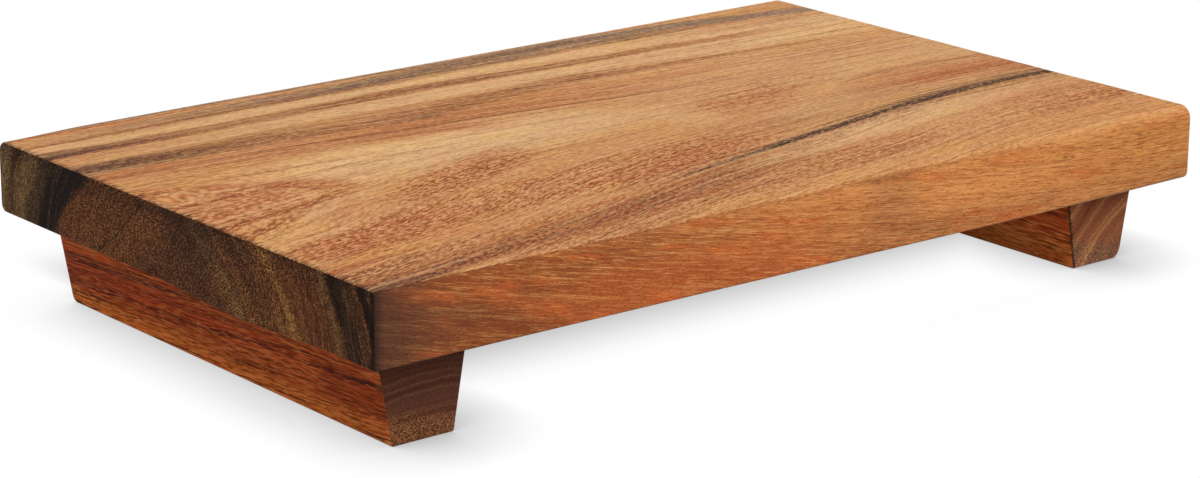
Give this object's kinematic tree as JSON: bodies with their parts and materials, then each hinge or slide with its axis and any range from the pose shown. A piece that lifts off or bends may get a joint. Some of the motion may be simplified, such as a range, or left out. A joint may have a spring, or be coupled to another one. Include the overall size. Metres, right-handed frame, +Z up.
{
  "type": "footed serving board",
  "caption": "Rectangular hardwood serving board: a thick plank with eased edges, raised on tapered crosswise feet that are screwed on from below and plugged.",
  "frame": {"origin": "on the table, under the middle of the board", "axes": "+X along the plank's grain, from the left foot to the right foot; +Y across the board, from front to back; +Z up, out of the serving face"},
  "size_m": [0.33, 0.203, 0.0525],
  "materials": {
    "plank_wood": "oiled acacia-type hardwood, satin, with streaked gold, orange-brown and dark brown grain",
    "foot_wood": "oiled acacia-type hardwood, satin, red-brown with dark streaks",
    "plug_wood": "turned hardwood, oiled, face grain",
    "screw_steel": "zinc-plated steel"
  },
  "bodies": {
    "root": {"top_plank": "plank_wood", "left_foot": "foot_wood", "left_foot_screw_1": "screw_steel", "left_foot_screw_2": "screw_steel", "left_foot_screw_3": "screw_steel", "left_foot_plug_1": "plug_wood", "left_foot_plug_2": "plug_wood", "left_foot_plug_3": "plug_wood", "right_foot": "foot_wood", "right_foot_screw_1": "screw_steel", "right_foot_screw_2": "screw_steel", "right_foot_screw_3": "screw_steel", "right_foot_plug_1": "plug_wood", "right_foot_plug_2": "plug_wood", "right_foot_plug_3": "plug_wood"}
  },
  "joints": []
}
